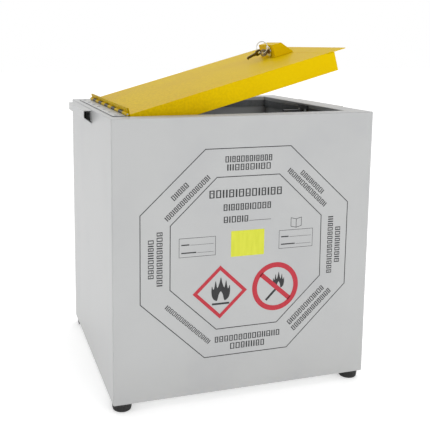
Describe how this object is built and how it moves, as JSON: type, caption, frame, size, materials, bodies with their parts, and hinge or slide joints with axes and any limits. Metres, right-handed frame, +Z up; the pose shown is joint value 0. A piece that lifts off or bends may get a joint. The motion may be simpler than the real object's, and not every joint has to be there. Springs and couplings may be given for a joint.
{
  "type": "flammables safety box",
  "caption": "Top-opening insulated safety box for flammable liquids, with a hinged locking lid on a quadrant stay, a lift-out spill tray and carrying grips.",
  "frame": {"origin": "on the floor under the middle of the case", "axes": "+Z up, the front with the label faces -Y, the lid's hinge is on the -X side and its lock on the +X side"},
  "size_m": [0.5326, 0.43, 0.6584],
  "materials": {
    "grey_powder_coat": "satin",
    "yellow_powder_coat": "gloss",
    "insulation_board": "matte",
    "intumescent_strip": "matte",
    "foot_rubber": "matte",
    "zinc_plated_steel": "satin",
    "chrome_plate": "polished",
    "brass": "satin",
    "key_steel": "satin",
    "knob_plastic": "matte"
  },
  "bodies": {
    "case": {"front_panel": "grey_powder_coat", "back_panel": "grey_powder_coat", "left_panel": "grey_powder_coat", "right_panel": "grey_powder_coat", "base_plate": "grey_powder_coat", "top_deck": "grey_powder_coat", "liner_front": "grey_powder_coat", "liner_back": "grey_powder_coat", "liner_left": "grey_powder_coat", "liner_right": "grey_powder_coat", "liner_floor": "grey_powder_coat", "grip_left": "grey_powder_coat", "grip_right": "grey_powder_coat", "hinge_leaf_case": "grey_powder_coat", "front_insulation": "insulation_board", "back_insulation": "insulation_board", "left_insulation": "insulation_board", "right_insulation": "insulation_board", "base_insulation": "insulation_board", "seal_front": "intumescent_strip", "seal_back": "intumescent_strip", "seal_right_front": "intumescent_strip", "seal_right_back": "intumescent_strip", "foot_front_left": "foot_rubber", "foot_front_right": "foot_rubber", "foot_back_left": "foot_rubber", "foot_back_right": "foot_rubber", "foot_screw_front_left": "zinc_plated_steel", "foot_screw_front_right": "zinc_plated_steel", "foot_screw_back_left": "zinc_plated_steel", "foot_screw_back_right": "zinc_plated_steel", "hinge_pin": "zinc_plated_steel", "stay_stud": "zinc_plated_steel", "stay_washer": "zinc_plated_steel", "keeper": "zinc_plated_steel", "keeper_screw_1": "zinc_plated_steel", "keeper_screw_2": "zinc_plated_steel"},
    "lid": {"lid_shell": "yellow_powder_coat", "lid_lip": "yellow_powder_coat", "lid_insulation": "insulation_board", "lid_inner_pan": "grey_powder_coat", "hinge_leaf_lid": "yellow_powder_coat", "stay_quadrant": "zinc_plated_steel", "lock_hood": "yellow_powder_coat", "lock_barrel": "chrome_plate", "lock_nut": "zinc_plated_steel"},
    "lock_plug": {"lock_plug": "brass", "hook_cam": "zinc_plated_steel"},
    "key": {"key": "key_steel"},
    "key_ring": {"key_ring": "chrome_plate", "spare_key": "key_steel"},
    "spill_tray": {"spill_tray": "zinc_plated_steel"},
    "stay_knob": {"stay_knob": "knob_plastic"}
  },
  "joints": [
    {"name": "lid_hinge", "type": "hinge", "parent": "case", "child": "lid", "pos_m": [-0.213, 0, 0.5315], "axis": [0, -1, 0], "range_deg": [-15.5, 54.5]},
    {"name": "plug_turn", "type": "hinge", "parent": "lid", "child": "lock_plug", "pos_m": [0.12794, -0.014, 0.63799], "axis": [-0.9636, 0, -0.2672], "range_deg": [0, 90]},
    {"name": "key_slide", "type": "slide", "parent": "lock_plug", "child": "key", "axis": [-0.9636, 0, -0.2672], "range_m": [0, 0.018]},
    {"name": "ring_swing", "type": "hinge", "parent": "key", "child": "key_ring", "pos_m": [0.11291, -0.014, 0.63382], "axis": [0, 1, 0], "range_deg": [-8, 15]},
    {"name": "tray_lift", "type": "slide", "parent": "case", "child": "spill_tray", "axis": [0, 0, 1], "range_m": [0, 0.15]},
    {"name": "knob_turn", "type": "hinge", "parent": "case", "child": "stay_knob", "pos_m": [0.01017, 0.148, 0.47586], "axis": [0, -1, 0], "range_deg": [0, 180]}
  ]
}
